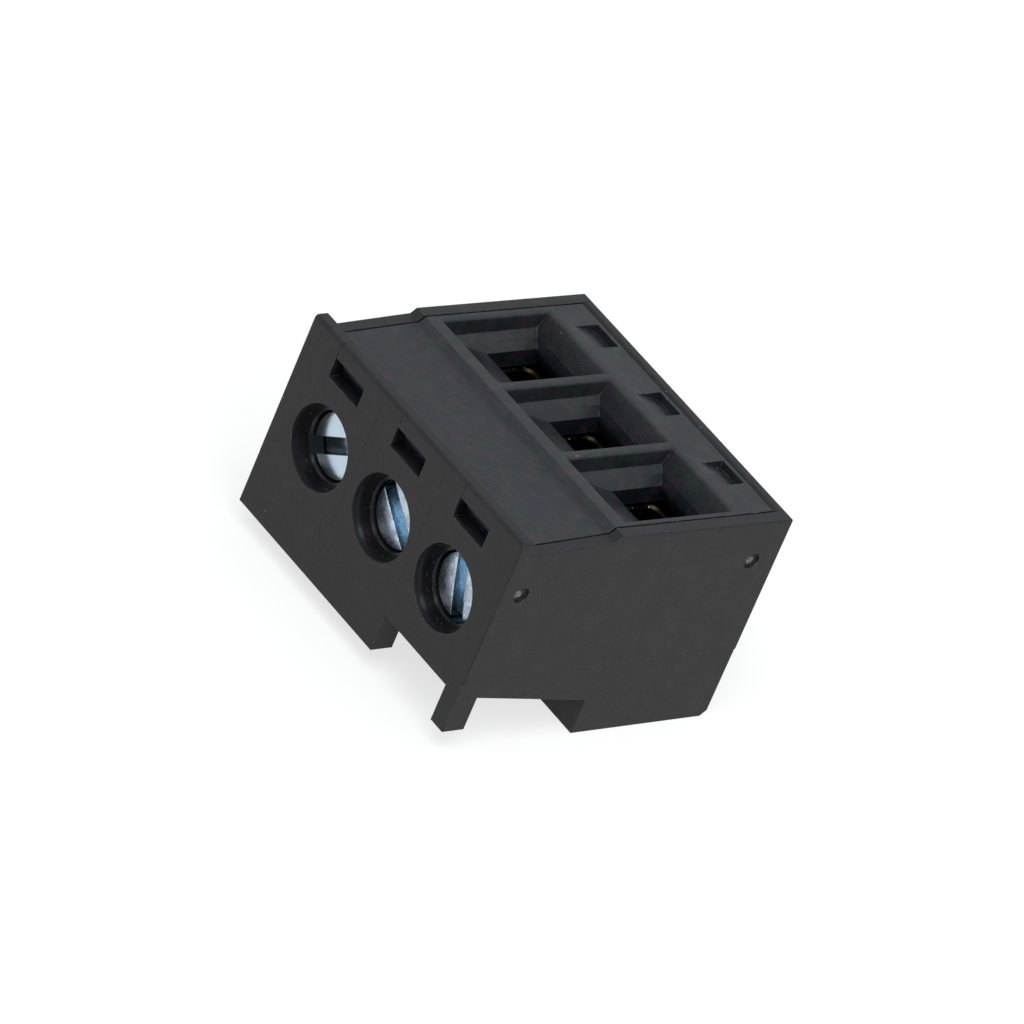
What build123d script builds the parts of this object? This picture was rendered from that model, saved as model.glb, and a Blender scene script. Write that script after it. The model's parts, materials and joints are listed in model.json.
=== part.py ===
from build123d import *
import math
import os

# Pluggable screw terminal block with three poles. Wires go in from above, the clamp
# screws face the front, and the header's pins go in from below, through the nose.
#
# Sizes are in millimetres. X runs along the row of poles, with 0 at its middle. While a
# piece is drawn, Y is the depth behind the screw face, and Z the height above the nose's
# foot. The finished pieces are moved back by half the depth, so that the origin lies
# under the middle of the block.

# Row of poles
POLES = 3
PITCH = 5.08
END_MARGIN = 0.83

# Heights, from the nose's foot upwards
NOSE_DROP = 1.90
BELLY_SLOPE = 8.3
NOSE_FRONT = 7.95
BELLY_WALL = 0.39
RUN_GAP = 0.60
CAGE_HEIGHT = 4.20
SCREW_DROP = 5.00

# Roof of the block, as drops below the lip over the screw face
LIP_THICKNESS = 0.67
ROOF_FRONT_DROP = 0.69
STEP_FOOT_DROP = 0.47
STEP_TOP_DROP = 0.20
ROOF_BACK_DROP = 0.33
STEP_START = 5.65
STEP_RUN = 0.27

# Housing
END_WALL = 0.65
BACK_WALL = 0.62
SKIRT_THICKNESS = 1.24
SKIRT_HEIGHT = 1.96
FOOT_WIDTH = 0.97
CUTOUT_WIDTH = 4.93
NOSE_CHAMFER = 0.35
LIP_ROUND = 0.20
BACK_ROUND = 0.10
INNER_ROUND = 0.25
END_ROUND = 0.08
WINDOW_WIDTH = 2.33
WINDOW_HEIGHT = 1.04
WINDOW_DROP = 0.81
PARTITION = 0.78
NOSE_FLOOR = 0.90
PIN_CHAMBER_WIDTH = 2.30
EJECTOR_RADIUS = 0.42
EJECTOR_DEPTH = 0.12
EJECTOR_MARKS = ((1.13, 2.87), (14.41, 2.50))

# Wire entry cover
COVER_SEAT_DROP = 2.65
COVER_END_GAP = 0.10
COVER_FRONT_GAP = 0.06
COVER_BACK_GAP = 0.10
RIB_WIDTH = 0.54
MOUTH_FRONT = 6.75
MOUTH_DEPTH = 6.25
MOUTH_BAND_DROP = 1.15
MOUTH_ROUND = 0.18
WIRE_HOLE = 3.00
WIRE_HOLE_FRONT = 9.40
WIRE_HOLE_DROP = 1.77
WIRE_HOLE_LAND = 0.20
WIRE_HOLE_FLARE = 0.40
NOTCH_WIDTH = 1.67
NOTCH_OFFSET = -0.24
NOTCH_DEPTH = 1.40
NOTCH_DROP = 0.72
NOTCH_FLOOR = 0.12
NOTCH_RIM = 0.18
HOOK_SIDE_GAP = 0.10
HOOK_TOP_GAP = 0.08
HOOK_REACH = 0.22
HOOK_HEIGHT = 0.85
REAR_HOOK_WIDTH = 1.56
REAR_HOOK_REACH = 0.14
REAR_HOOK_DROP = 1.45
REAR_POCKET_GAP = 0.08
COVER_WALL = 0.80

# Clamp screw, M2.5 by 0.45 with a slotted head
THREAD_RADIUS = 1.25
THREAD_PITCH = 0.45
CLAMP_TURNS = 6
HEAD_RADIUS = 1.57
HEAD_RECESS = 0.97
HEAD_HEIGHT = 1.13
HEAD_DOME = 0.04
HEAD_EDGE = 0.06
SLOT_WIDTH = 0.80
SLOT_DEPTH = 0.68
SLOT_ANGLES = (35.0, -35.0, -70.0)
TIP_RADIUS = 0.90
TIP_LENGTH = 0.45
ACCESS_RADIUS = 2.02
ACCESS_DEPTH = 0.75
HEAD_BORE_GAP = 0.08
SHANK_GAP = 0.06
HEAD_END_GAP = 0.10
SCREW_SEAT = 0.40

# Clamp cage
CAGE_NUT = 1.50
CAGE_FAR_WALL = 0.80
CAGE_SIDE_GAP = 0.10
CAGE_END_GAP = 0.10
CAGE_CORNER = 0.30
CAGE_OPENING_GAP = 0.05
CAGE_LEAD_IN = 0.12
CAGE_OPENING_CORNER = 0.40
THREAD_GAP = 0.05
GRIP_DEPTH = 0.14
GRIP_PITCH = 0.60
CAGE_GRIPS = 5

# Contact, bent from one strip, and the spring that presses the header's pin on it
STRIP = 0.45
BAR_SIDE_GAP = 0.15
BAR_WIRE_GAP = 0.05
BAR_TOP_GAP = 0.45
BAR_GRIPS = 5
TIP_GAP = 0.05
HEM_END = 0.45
RUN_WIDTH = 2.00
TAB_TOP = 7.60
STRIP_BEND = 0.45
SPRING = 0.20
SPRING_WIDTH = 1.80
SPRING_FRONT_GAP = 0.13
SPRING_OVER_TAB = 0.20
SPRING_CLASP = 2.30
SPRING_BEND = 0.35
SPRING_GRIP_Z = 3.60
SPRING_GRIP = 0.20
SPRING_SHOULDER_Z = 6.40
SPRING_FOOT_Z = 1.30
SPRING_BACK_GAP = 0.12
PIN = 1.00
PIN_ENTRY_GAP = 0.15
PIN_LEAD_IN = 0.25

# How near an edge lies to the place where it is looked for
NEAR = 0.01

# Widths that follow from the row
LENGTH = POLES * PITCH + 2 * END_MARGIN
POLE_XS = [(i - (POLES - 1) / 2) * PITCH for i in range(POLES)]
CHAMBER_WIDTH = PITCH - PARTITION
CAGE_WIDTH = CHAMBER_WIDTH - 2 * CAGE_SIDE_GAP
CAGE_OPENING = WIRE_HOLE + CAGE_OPENING_GAP
BAR_WIDTH = CAGE_OPENING - 2 * BAR_SIDE_GAP

# Heights that follow
BELLY_BACK_Z = NOSE_DROP
BELLY_FRONT_Z = BELLY_BACK_Z + NOSE_FRONT * math.tan(math.radians(BELLY_SLOPE))
SKIRT_Z = BELLY_FRONT_Z - SKIRT_HEIGHT
CHAMBER_Z = BELLY_FRONT_Z + BELLY_WALL
CAGE_Z = CHAMBER_Z + STRIP + RUN_GAP
SCREW_Z = CAGE_Z + CAGE_HEIGHT / 2
HEIGHT = SCREW_Z + SCREW_DROP
COVER_Z = HEIGHT - COVER_SEAT_DROP
BAR_TOP_Z = COVER_Z - BAR_TOP_GAP

# Depths that follow, from the screw face to the back
CLAMP_TRAVEL = CLAMP_TURNS * THREAD_PITCH
HEAD_BORE_END = HEAD_RECESS + HEAD_HEIGHT + HEAD_END_GAP
CHAMBER_FRONT = HEAD_BORE_END + SCREW_SEAT
CAGE_FRONT = CHAMBER_FRONT + CAGE_END_GAP + CLAMP_TRAVEL
BAR_FACE = WIRE_HOLE_FRONT - BAR_WIRE_GAP
BAR_FRONT = BAR_FACE - 2 * STRIP
SCREW_END = BAR_FRONT - TIP_GAP
CAGE_INNER_BACK = WIRE_HOLE_FRONT + WIRE_HOLE + CAGE_OPENING_GAP / 2
CAGE_BACK = CAGE_INNER_BACK + CAGE_FAR_WALL
SHOULDER = CAGE_BACK + CAGE_END_GAP
TAB_FRONT = CAGE_BACK + SPRING_FRONT_GAP + SPRING
TAB_BACK = TAB_FRONT + STRIP
PIN_DEPTH = TAB_BACK + PIN / 2
LEAF_DEPTH = TAB_BACK + PIN + SPRING / 2
CHAMBER_BACK = LEAF_DEPTH + SPRING / 2 + SPRING_BACK_GAP
DEPTH = CHAMBER_BACK + BACK_WALL
COVER_FRONT = LIP_THICKNESS + COVER_FRONT_GAP
COVER_BACK = CHAMBER_BACK - COVER_BACK_GAP


def block(x, y, z):
    """A box between pairs of limits."""
    size = [limits[1] - limits[0] for limits in (x, y, z)]
    middle = [(limits[0] + limits[1]) / 2 for limits in (x, y, z)]
    return Pos(*middle) * Box(*size)


def across(points, x0, x1):
    """A side outline of (depth, height) points, filled from x0 to x1."""
    outline = Plane.YZ * make_face(Polyline(*points, close=True))
    return Pos(x0, 0, 0) * extrude(outline, amount=x1 - x0, dir=(1, 0, 0))


def along_screw(radius, start, end, x=0.0):
    """A cylinder on a screw axis, between two depths."""
    middle = Pos(x, (start + end) / 2, SCREW_Z) * Rot(90, 0, 0)
    return middle * Cylinder(radius, end - start)


def strip(points, bends, thickness, width):
    """A flat strip that follows (depth, height) points with rounded bends."""
    path = FilletPolyline(*[(0, y, z) for y, z in points], radius=bends)
    start = Plane(path @ 0, x_dir=(1, 0, 0), z_dir=path % 0)
    return sweep(start * Rectangle(width, thickness), path=path)


def grooves(count, depth, face, reach, width, middle_z):
    """V grooves across a face that faces along Y; reach is the side they cut into."""
    cuts = []
    for i in range(count):
        z = middle_z + (i - (count - 1) / 2) * GRIP_PITCH
        half = GRIP_PITCH / 2 - GRIP_DEPTH / 2
        points = [(face, z - half), (face, z + half), (face + reach * depth, z)]
        cuts.append(across(points, -width / 2, width / 2))
    return cuts


def roof_points():
    """The four corners of the roof, which the end walls and the cover share."""
    return [
        (LIP_THICKNESS, HEIGHT - ROOF_FRONT_DROP),
        (STEP_START, HEIGHT - STEP_FOOT_DROP),
        (STEP_START + STEP_RUN, HEIGHT - STEP_TOP_DROP),
        (DEPTH, HEIGHT - ROOF_BACK_DROP),
    ]


def roof_height(depth):
    """Height of the roof at a depth, on the slope that covers it."""
    corners = roof_points()
    for (y0, z0), (y1, z1) in zip(corners, corners[1:]):
        if depth <= y1:
            return z0 + (z1 - z0) * (depth - y0) / (y1 - y0)
    return corners[-1][1]


def edges_at(shape, y, z):
    """Edges along X that pass through a (depth, height) point."""
    found = shape.edges().filter_by(Axis.X)
    return [e for e in found if abs(e.center().Y - y) < NEAR and abs(e.center().Z - z) < NEAR]


def housing_shell():
    """Outer form: lip, stepped end walls, sloping belly, nose, skirt and foot."""
    outline = [(0, BELLY_FRONT_Z), (0, HEIGHT), (LIP_THICKNESS, HEIGHT)]
    outline += roof_points()
    outline += [(DEPTH, NOSE_CHAMFER), (DEPTH - NOSE_CHAMFER, 0), (NOSE_FRONT, 0)]
    outline += [(NOSE_FRONT, BELLY_BACK_Z)]
    end = LENGTH / 2
    shell = across(outline, -end, end)
    skirt_depths = (0, SKIRT_THICKNESS)
    skirt_heights = (SKIRT_Z, BELLY_FRONT_Z)
    cutout_start = end - FOOT_WIDTH - CUTOUT_WIDTH
    shell += block((-end, cutout_start), skirt_depths, skirt_heights)
    shell += block((end - FOOT_WIDTH, end), skirt_depths, skirt_heights)
    shell = fillet(edges_at(shell, 0, HEIGHT), LIP_ROUND)
    shell = fillet(edges_at(shell, DEPTH, HEIGHT - ROOF_BACK_DROP), BACK_ROUND)
    ends = [e for f in (shell.faces().sort_by(Axis.X)[0], shell.faces().sort_by(Axis.X)[-1])
            for e in f.outer_wire().edges()]
    return fillet(ends, END_ROUND)


def clamp_chamber(x):
    """Room for one cage, its bar and the pin spring, open under the cover."""
    half = CHAMBER_WIDTH / 2
    pin_half = PIN_CHAMBER_WIDTH / 2
    cage_room = block((x - half, x + half), (CHAMBER_FRONT, SHOULDER), (CHAMBER_Z, COVER_Z))
    pin_room = block((x - pin_half, x + pin_half), (SHOULDER, CHAMBER_BACK), (NOSE_FLOOR, COVER_Z))
    return cage_room + pin_room


def screw_bore(x):
    """Stepped bore of one screw: access, head and shank."""
    access = along_screw(ACCESS_RADIUS, 0, ACCESS_DEPTH, x)
    head = along_screw(HEAD_RADIUS + HEAD_BORE_GAP, 0, HEAD_BORE_END, x)
    shank = along_screw(THREAD_RADIUS + SHANK_GAP, 0, CHAMBER_FRONT, x)
    return access + head + shank


def pin_entry(x):
    """Square entry for one header pin, with a lead-in at the nose's foot."""
    side = PIN + PIN_ENTRY_GAP * 2
    wide = side + PIN_LEAD_IN * 2
    centre = Pos(x, PIN_DEPTH, 0)
    hole = centre * Pos(0, 0, NOSE_FLOOR / 2) * Box(side, side, NOSE_FLOOR)
    mouth = centre * Rectangle(wide, wide)
    throat = centre * Pos(0, 0, PIN_LEAD_IN) * Rectangle(side, side)
    return hole + loft([mouth, throat], ruled=True)


def window(x):
    """Window in the screw face, where a hook of the cover latches."""
    half = WINDOW_WIDTH / 2
    top = HEIGHT - WINDOW_DROP
    return block((x - half, x + half), (0, LIP_THICKNESS), (top - WINDOW_HEIGHT, top))


def rear_pocket(x):
    """Blind pocket inside the back wall for a rear hook of the cover."""
    half = REAR_HOOK_WIDTH / 2 + REAR_POCKET_GAP
    top = HEIGHT - REAR_HOOK_DROP + REAR_POCKET_GAP
    back = COVER_BACK + COVER_BACK_GAP + REAR_HOOK_REACH + REAR_POCKET_GAP
    low = top - HOOK_HEIGHT - 2 * REAR_POCKET_GAP
    return block((x - half, x + half), (CHAMBER_BACK, back), (low, top))


def housing():
    """Moulded housing: the shell with everything that is taken out of it."""
    inner_end = LENGTH / 2 - END_WALL
    cover_bed = block((-inner_end, inner_end), (LIP_THICKNESS, CHAMBER_BACK), (COVER_Z, HEIGHT))
    body = housing_shell() - cover_bed
    body = fillet(edges_at(body, CHAMBER_BACK, roof_height(CHAMBER_BACK)), INNER_ROUND)
    for x in POLE_XS:
        body -= clamp_chamber(x)
        body -= screw_bore(x)
        body -= window(x)
        body -= rear_pocket(x)
        body -= pin_entry(x)
    for depth, drop in EJECTOR_MARKS:
        mark = Pos(LENGTH / 2, depth, HEIGHT - drop) * Rot(0, 90, 0)
        body -= mark * Cylinder(EJECTOR_RADIUS, EJECTOR_DEPTH * 2)
    return body


def funnel(x):
    """Wire funnel of one pole: an upright band on three sides over slopes to the wire hole.

    Its back wall is one plane, which leans from the roof down to the wire hole. Below that
    plane the hole flares backwards, towards the cage.
    """
    half = (PITCH - RIB_WIDTH) / 2
    band_z = HEIGHT - MOUTH_BAND_DROP
    hole_z = HEIGHT - WIRE_HOLE_DROP
    mouth_back = MOUTH_FRONT + MOUTH_DEPTH
    hole_back = WIRE_HOLE_FRONT + WIRE_HOLE
    lean = (mouth_back - hole_back) / (roof_height(mouth_back) - hole_z)
    band_back = hole_back + lean * (band_z - hole_z)
    open_back = hole_back + lean * (HEIGHT - hole_z)
    outline = [(MOUTH_FRONT, band_z), (MOUTH_FRONT, HEIGHT), (open_back, HEIGHT)]
    band = across(outline + [(band_back, band_z)], x - half, x + half)
    wide = Rectangle(2 * half, band_back - MOUTH_FRONT)
    wide = Pos(x, (MOUTH_FRONT + band_back) / 2, band_z) * wide
    narrow = Pos(x, (WIRE_HOLE_FRONT + hole_back) / 2, hole_z) * Rectangle(WIRE_HOLE, WIRE_HOLE)
    section = [(WIRE_HOLE_FRONT, COVER_Z), (WIRE_HOLE_FRONT, hole_z), (hole_back, hole_z)]
    section += [(hole_back, hole_z - WIRE_HOLE_LAND), (hole_back + WIRE_HOLE_FLARE, COVER_Z)]
    hole = across(section, x - WIRE_HOLE / 2, x + WIRE_HOLE / 2)
    return band + loft([wide, narrow], ruled=True) + hole


def pry_notch(x):
    """Notch behind one funnel for a blade that lifts the cover; its front side is a ramp."""
    back = COVER_BACK - NOTCH_RIM
    front = back - NOTCH_DEPTH
    low = HEIGHT - NOTCH_DROP
    points = [(front, HEIGHT), (front, roof_height(front)), (back - NOTCH_FLOOR, low)]
    points += [(back, low), (back, HEIGHT)]
    middle = x + NOTCH_OFFSET
    return across(points, middle - NOTCH_WIDTH / 2, middle + NOTCH_WIDTH / 2)


def front_hook(x):
    """Latch hook that fills one window of the screw face."""
    half = WINDOW_WIDTH / 2 - HOOK_SIDE_GAP
    top = HEIGHT - WINDOW_DROP - HOOK_TOP_GAP
    nose = LIP_THICKNESS - HOOK_REACH
    points = [(COVER_FRONT, top), (nose, top), (nose, top - HOOK_REACH)]
    points += [(COVER_FRONT, top - HOOK_HEIGHT)]
    return across(points, x - half, x + half)


def rear_hook(x):
    """Latch hook on the back edge of the cover."""
    top = HEIGHT - REAR_HOOK_DROP
    nose = CHAMBER_BACK + REAR_HOOK_REACH
    points = [(COVER_BACK, top), (nose, top), (nose, top - REAR_HOOK_REACH)]
    points += [(COVER_BACK, top - HOOK_HEIGHT)]
    return across(points, x - REAR_HOOK_WIDTH / 2, x + REAR_HOOK_WIDTH / 2)


def underside_hollow(x):
    """Hollow under the low front part of the cover, which leaves an even wall."""
    half = CAGE_WIDTH / 2
    front = COVER_FRONT + COVER_WALL
    back = MOUTH_FRONT - COVER_WALL
    top = roof_height(front) - COVER_WALL
    return block((x - half, x + half), (front, back), (COVER_Z, top))


def wire_entry_cover():
    """Snap-in cover with the wire funnels, flush with the end walls."""
    end = LENGTH / 2 - END_WALL - COVER_END_GAP
    outline = [(COVER_FRONT, COVER_Z), (COVER_FRONT, roof_height(COVER_FRONT))]
    outline += roof_points()[1:3]
    outline += [(COVER_BACK, roof_height(COVER_BACK)), (COVER_BACK, COVER_Z)]
    cover = across(outline, -end, end)
    for x in POLE_XS:
        cover -= funnel(x)
    mouth_back = MOUTH_FRONT + MOUTH_DEPTH
    rims = [e for e in cover.edges()
            if MOUTH_FRONT - NEAR < e.center().Y < mouth_back + NEAR
            and abs(e.center().Z - roof_height(e.center().Y)) < NEAR
            and abs(e.center().X) < end - NEAR]
    cover = fillet(rims, MOUTH_ROUND)
    for x in POLE_XS:
        cover -= pry_notch(x)
        cover -= underside_hollow(x)
        cover += front_hook(x)
        cover += rear_hook(x)
    return cover


def clamp_screw(x, slot_angle):
    """Slotted clamp screw; its thread is drawn plain, at its outer radius."""
    dome = HEAD_RECESS + HEAD_DOME
    head_back = HEAD_RECESS + HEAD_HEIGHT
    edge = dome + HEAD_EDGE
    tip_start = SCREW_END - TIP_LENGTH
    cone = THREAD_RADIUS - TIP_RADIUS
    crown = ThreePointArc((0, HEAD_RECESS), (HEAD_RADIUS / 2, HEAD_RECESS + HEAD_DOME / 4),
                          (HEAD_RADIUS - HEAD_EDGE, dome))
    side = Polyline((HEAD_RADIUS - HEAD_EDGE, dome), (HEAD_RADIUS, edge), (HEAD_RADIUS, head_back),
                    (THREAD_RADIUS, head_back), (THREAD_RADIUS, tip_start - cone),
                    (TIP_RADIUS, tip_start), (TIP_RADIUS, SCREW_END), (0, SCREW_END),
                    (0, HEAD_RECESS))
    screw = revolve(make_face(crown + side), axis=Axis.Y)
    slot = block((-HEAD_RADIUS * 2, HEAD_RADIUS * 2), (0, HEAD_RECESS + SLOT_DEPTH),
                 (-SLOT_WIDTH / 2, SLOT_WIDTH / 2))
    screw -= Rot(0, -slot_angle, 0) * slot
    return Pos(x, 0, SCREW_Z) * screw


def clamp_cage(x):
    """Brass cage in its open place: nut wall, two sides and the far wall that grips."""
    low = CAGE_Z
    top = CAGE_Z + CAGE_HEIGHT
    half = CAGE_WIDTH / 2
    opening = CAGE_OPENING / 2
    opening_front = CAGE_FRONT + CAGE_NUT
    cage = block((-half, half), (CAGE_FRONT, CAGE_BACK), (low, top))
    cage = fillet(cage.edges().filter_by(Axis.Z), CAGE_CORNER)
    way = block((-opening, opening), (opening_front, CAGE_INNER_BACK), (low, top))
    cage -= fillet(way.edges().filter_by(Axis.Z), CAGE_OPENING_CORNER)
    lead = [e for e in cage.faces().sort_by(Axis.Z)[-1].inner_wires()[0].edges()]
    cage = chamfer(lead, CAGE_LEAD_IN)
    cage -= along_screw(THREAD_RADIUS + THREAD_GAP, CAGE_FRONT, opening_front)
    for cut in grooves(CAGE_GRIPS, GRIP_DEPTH, CAGE_INNER_BACK, 1, CAGE_OPENING, SCREW_Z):
        cage -= cut
    return Pos(x, 0, 0) * cage


def current_bar(x):
    """Contact strip: hemmed clamp leg, run under the cage and tab beside the pin."""
    leg_low = CHAMBER_Z + STRIP + HEM_END
    middle = BAR_FRONT + STRIP / 2
    run_z = CHAMBER_Z + STRIP / 2
    leg = block((-BAR_WIDTH / 2, BAR_WIDTH / 2), (BAR_FRONT, BAR_FACE), (leg_low, BAR_TOP_Z))
    crown = edges_at(leg, BAR_FRONT, BAR_TOP_Z) + edges_at(leg, BAR_FACE, BAR_TOP_Z)
    leg = fillet(crown, STRIP * 0.9)
    tab = TAB_FRONT + STRIP / 2
    route = [(middle, leg_low + STRIP), (middle, run_z), (tab, run_z), (tab, TAB_TOP)]
    bar = leg + strip(route, STRIP_BEND, STRIP, RUN_WIDTH)
    for cut in grooves(BAR_GRIPS, GRIP_DEPTH, BAR_FACE, -1, BAR_WIDTH, SCREW_Z):
        bar -= cut
    return Pos(x, 0, 0) * bar


def pin_spring(x):
    """Leaf spring that hooks over the tab and presses the header's pin against it."""
    clasp = TAB_FRONT - SPRING / 2
    top = TAB_TOP + SPRING_OVER_TAB + SPRING / 2
    grip = LEAF_DEPTH - SPRING_GRIP
    route = [(clasp, TAB_TOP - SPRING_CLASP), (clasp, top), (LEAF_DEPTH, top)]
    route += [(LEAF_DEPTH, SPRING_SHOULDER_Z), (grip, SPRING_GRIP_Z), (LEAF_DEPTH, SPRING_FOOT_Z)]
    return Pos(x, 0, 0) * strip(route, SPRING_BEND, SPRING, SPRING_WIDTH)


def write(name, shape):
    """Move a piece to the block's own origin and write it."""
    export_step(Pos(0, -DEPTH / 2, 0) * shape, f"parts/{name}.step")


def main():
    os.makedirs("parts", exist_ok=True)
    write("housing", housing())
    write("wire_entry_cover", wire_entry_cover())
    for i, x in enumerate(POLE_XS):
        write(f"clamp_screw_{i + 1}", clamp_screw(x, SLOT_ANGLES[i % len(SLOT_ANGLES)]))
        write(f"clamp_cage_{i + 1}", clamp_cage(x))
        write(f"current_bar_{i + 1}", current_bar(x))
        write(f"pin_spring_{i + 1}", pin_spring(x))


main()
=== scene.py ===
"""Finishes, fine details, studio and camera for a pluggable screw terminal block.

Everything is in metres, in the frame of the packed model: X along the row of poles, Y from
the screw face to the back, and Z up, with the floor at 0.
"""
import json
import math

import bmesh
import bpy
from bpy.props import FloatProperty, FloatVectorProperty, IntProperty, PointerProperty
from mathutils import Matrix, Vector
from mathutils.bvhtree import BVHTree


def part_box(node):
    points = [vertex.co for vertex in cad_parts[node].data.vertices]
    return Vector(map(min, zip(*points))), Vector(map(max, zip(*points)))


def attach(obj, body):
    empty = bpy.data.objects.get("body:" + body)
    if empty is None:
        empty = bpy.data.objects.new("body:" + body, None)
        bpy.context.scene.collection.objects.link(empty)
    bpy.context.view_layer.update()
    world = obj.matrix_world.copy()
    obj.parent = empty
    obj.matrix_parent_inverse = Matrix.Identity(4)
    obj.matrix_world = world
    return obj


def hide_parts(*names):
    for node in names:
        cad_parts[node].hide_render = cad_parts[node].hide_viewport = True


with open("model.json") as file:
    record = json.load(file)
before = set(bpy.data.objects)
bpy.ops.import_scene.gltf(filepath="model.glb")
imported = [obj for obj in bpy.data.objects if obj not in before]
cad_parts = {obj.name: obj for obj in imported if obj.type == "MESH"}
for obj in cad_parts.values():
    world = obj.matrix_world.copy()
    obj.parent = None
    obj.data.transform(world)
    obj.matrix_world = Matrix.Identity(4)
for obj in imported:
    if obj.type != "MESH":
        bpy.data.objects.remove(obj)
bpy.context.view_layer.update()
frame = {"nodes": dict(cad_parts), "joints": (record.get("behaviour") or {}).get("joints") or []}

bl_info = {
    "name": "Pluggable terminal block",
    "version": (1, 0, 0),
    "blender": (4, 5, 0),
    "location": "View3D > Sidebar > Terminal Block",
    "description": "Dresses the terminal block with moulded, plated and drawn finishes",
    "category": "Object",
}

MM = 0.001
MERGE_DISTANCE = 0.0001 * MM
FLAT_ANGLE = math.radians(1.0)
CUT_MARGIN = 0.5 * MM

HOUSING_LOW, HOUSING_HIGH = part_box("housing")
COVER_LOW, COVER_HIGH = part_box("wire_entry_cover")
SCREW_JOINTS = [joint for joint in frame["joints"] if joint["type"] == "hinge"]
SCREW_PLACES = [Vector(joint["pos_m"]) for joint in SCREW_JOINTS]
POLES = range(1, len(SCREW_JOINTS) + 1)

# Painted highlights in the two round marks of the +X end face: depth from the screw face and
# drop below the lip, in millimetres
END_MARKS = ((1.05, 2.90), (14.41, 2.52))

# Mould grain: frequency of each layer against the fine texture's, and what its masks take in
PIT_FREQUENCY, TONE_FREQUENCY, CAST_FREQUENCY, SPECK_FREQUENCY = 0.8, 0.09, 0.13, 0.2
GRAIN_SHARE, PIT_SHARE = 0.7, 0.3
PIT_WALL = (0.05, 0.45)
CAST_PATCH = (0.50, 0.68)
SPECK_RARITY = 0.86
SPECK_SIZE = (0.035, 0.085)

# Plastic: its own colour in dark and light patches, and how strongly the pale marks show; these
# include painted highlights along edges and in the end face's marks
TONE_RANGE, GLOSS_RANGE = (0.30, 0.70), (0.25, 0.75)
TONE_DARK, TONE_LIGHT = 0.82, 1.20
SMOOTHER, ROUGHER = 0.05, 0.06
INSIDE_GRAIN = 0.25
SPECK_SHARE, WEAR_AND_HIGHLIGHT_SHARE, MARK_HIGHLIGHT_SHARE = 0.35, 0.80, 0.70
# Painted highlights in the end face's marks: frequency of their ragged noise, share of the
# radius that is full, and where the noise cuts them
MARK_HIGHLIGHT_SCALE, MARK_HIGHLIGHT_CORE, MARK_HIGHLIGHT_RAGGED = 9.0 / MM, 0.6, (0.42, 0.54)

# Broken edges: how far the surface turns at one, and where it is rubbed pale and given a painted
# highlight
EDGE_TURN = (0.03, 0.22)
WEAR_AND_HIGHLIGHT_PATCH = (0.50, 0.68)

# Film and tarnish: frequency of the fine mask against the broad one's, and what each takes in
FINE_FREQUENCY = 7.0
BROAD_STAIN, FINE_STAIN = (0.35, 0.65), (0.35, 0.70)

# Zinc: depth range of the slot's film, and the sizes of film patches and tool marks
SLOT_FILM, SLOT_EDGE_SHARE = (0.16 * MM, 0.50 * MM), 0.6
FILM_PATCH, FILM_RANGE, FILM_FULL = 0.5 * MM, (0.2, 0.7), 0.8
BROAD_FILM, FINE_FILM, FINE_RELIEF = 0.6, 0.4, 0.08
STREAK_SCALE, STREAK_STRETCH = 9.0 / MM, 0.08
STREAK_RANGE, STREAK_TINT = (0.50, 0.66), (0.95, 0.25)
RING_SCALE = 14.0 / MM
BARE_SMOOTHER = 0.03

# Copper alloys: sizes of tarnish, broken edges, rolling marks and painted glints
TARNISH_PATCH = 0.8 * MM
ALLOY_EDGE = 0.04 * MM
ROLLING_SCALE, ROLLING_HEIGHT = 10.0 / MM, 0.0035 * MM
PAINTED_GLINT_SIZE, PAINTED_GLINT_RARITY = (0.17, 0.09), 0.5
STAIN_ROUGHER = 0.12
ALLOYS = {
    # slot: colour setting, roughness, share of tarnish, stretch of the rolling marks
    "cage_brass": ("brass", 0.30, 0.55, (1, 1, 0.1)),
    "tinned_copper": ("tin", 0.38, 0.10, (1, 1, 0.15)),
    "spring_bronze": ("bronze", 0.28, 0.25, (1, 1, 0.12)),
}

# Turned shapes and threads; the shares are those of a metric thread's pitch
LATHE_STEPS, DOME_STEPS, RIM_STEPS, SLOT_EDGE_STEPS, HELIX_STEPS = 96, 8, 5, 3, 48
SLOT_CORNER = math.radians(50)
FLANK_SHARE, CREST_SHARE, ROOT_SHARE = 0.613, 0.125, 0.25
PLAIN_TURNS = 0.7
SCREW_OVERLAP, NUT_OVERLAP = 0.01 * MM, 0.02 * MM
NUT_CREST_GAP = 0.046 * MM


# Settings that a user would change

def length(name, description, default_mm):
    """A length property, given in millimetres."""
    return FloatProperty(name=name, description=description, default=default_mm * MM,
                         min=0.0, precision=6, subtype="DISTANCE", unit="LENGTH")


def colour(name, description, default):
    """A linear colour property."""
    return FloatVectorProperty(name=name, description=description, default=default,
                               size=3, min=0.0, max=1.0, subtype="COLOR")


def share(name, description, default):
    """A plain number from 0 to 1."""
    return FloatProperty(name=name, description=description, default=default, min=0.0, max=1.0)


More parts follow.
